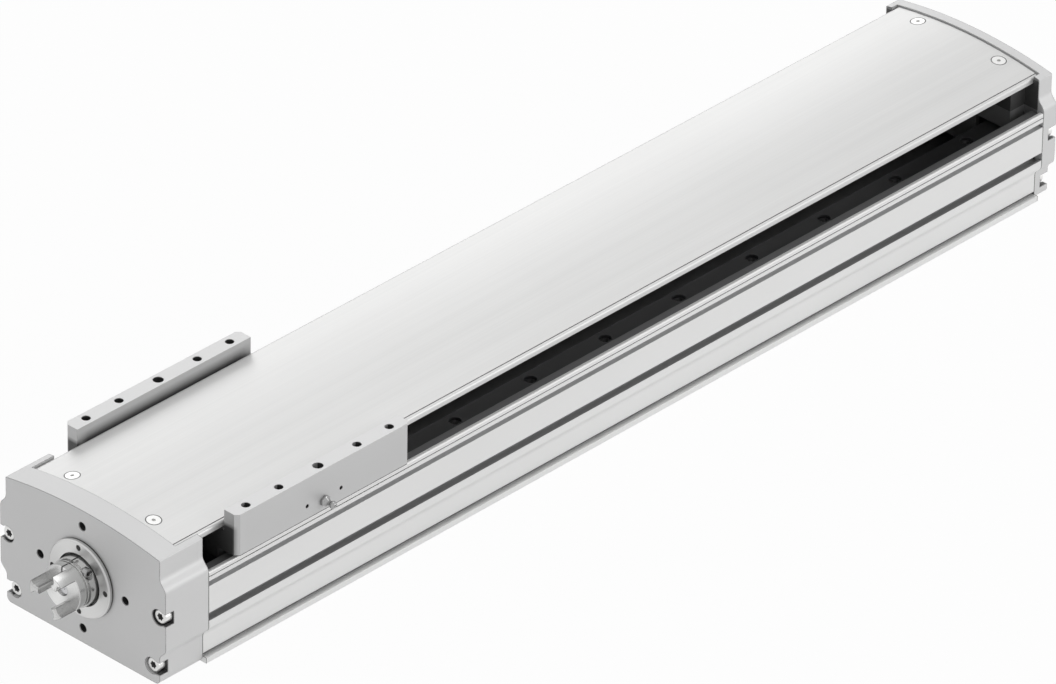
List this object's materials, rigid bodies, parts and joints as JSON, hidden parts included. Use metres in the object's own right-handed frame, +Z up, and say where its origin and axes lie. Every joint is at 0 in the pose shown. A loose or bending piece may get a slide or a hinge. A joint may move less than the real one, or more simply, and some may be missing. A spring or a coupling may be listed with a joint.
{
  "type": "ball screw linear axis",
  "caption": "Electric linear axis with a ball screw drive, twin guide rails, a crowned cover and a slide with two raised mounting rails.",
  "frame": {"origin": "centre of the underside, midway between the two end faces", "axes": "+X along the axis from the drive end to the idle end, +Z up, -Y the side with the grease nipple"},
  "size_m": [0.743, 0.1406, 0.0877],
  "materials": {
    "body_aluminium": "extruded, fine brushed and clear anodised",
    "cap_aluminium": "machined and matt anodised",
    "cover_aluminium": "brushed along its length, clear anodised",
    "slide_aluminium": "milled and matt anodised",
    "hub_aluminium": "turned, bright",
    "ring_steel": "turned",
    "screw_steel": "bright zinc plated",
    "ground_steel": "ground",
    "dark_steel": "black coated",
    "black_plastic": "moulded",
    "black_rubber": "moulded"
  },
  "bodies": {
    "frame": {"profile": "body_aluminium", "drive_end_cap": "cap_aluminium", "idle_end_cap": "cap_aluminium", "top_cover": "cover_aluminium", "cover_screws": "screw_steel", "drive_cap_screws": "screw_steel", "idle_cap_screws": "screw_steel", "guide_rail_right": "dark_steel", "guide_rail_left": "dark_steel", "guide_rail_screws_right": "dark_steel", "guide_rail_screws_left": "dark_steel", "bearing_lock_ring": "ring_steel", "fixed_bearing_outer_rings": "ground_steel", "fixed_bearing_balls": "ground_steel", "floating_bearing_outer_ring": "ground_steel", "floating_bearing_balls": "ground_steel", "drive_end_buffers": "black_rubber", "idle_end_buffers": "black_rubber"},
    "carriage": {"slide": "slide_aluminium", "nut_bracket": "slide_aluminium", "runner_block_front_right": "dark_steel", "runner_block_rear_right": "dark_steel", "runner_block_front_left": "dark_steel", "runner_block_rear_left": "dark_steel", "runner_end_caps_front_right": "black_plastic", "runner_end_caps_rear_right": "black_plastic", "runner_end_caps_front_left": "black_plastic", "runner_end_caps_rear_left": "black_plastic", "ball_nut_seals": "black_plastic", "block_screws": "screw_steel", "nut_bracket_screws": "screw_steel", "ball_nut_screws": "screw_steel", "grease_nipple": "screw_steel", "ball_nut": "ground_steel"},
    "screw": {"spindle": "ground_steel", "fixed_bearing_inner_rings": "ground_steel", "floating_bearing_inner_ring": "ground_steel", "idle_circlip": "ground_steel", "shaft_nut": "ground_steel", "coupling_hub": "hub_aluminium", "coupling_clamp_screw": "screw_steel"}
  },
  "joints": [
    {"name": "slide_travel", "type": "slide", "parent": "frame", "child": "carriage", "axis": [1, 0, 0], "range_m": [0, 0.5]},
    {"name": "screw_spin", "type": "hinge", "parent": "frame", "child": "screw", "pos_m": [0, 0, 0.0421], "axis": [1, 0, 0], "range_deg": [-18010, 10]}
  ],
  "couplings": [
    {"joint": "screw_spin", "follows": "slide_travel", "rad_per_m": -628.32}
  ]
}
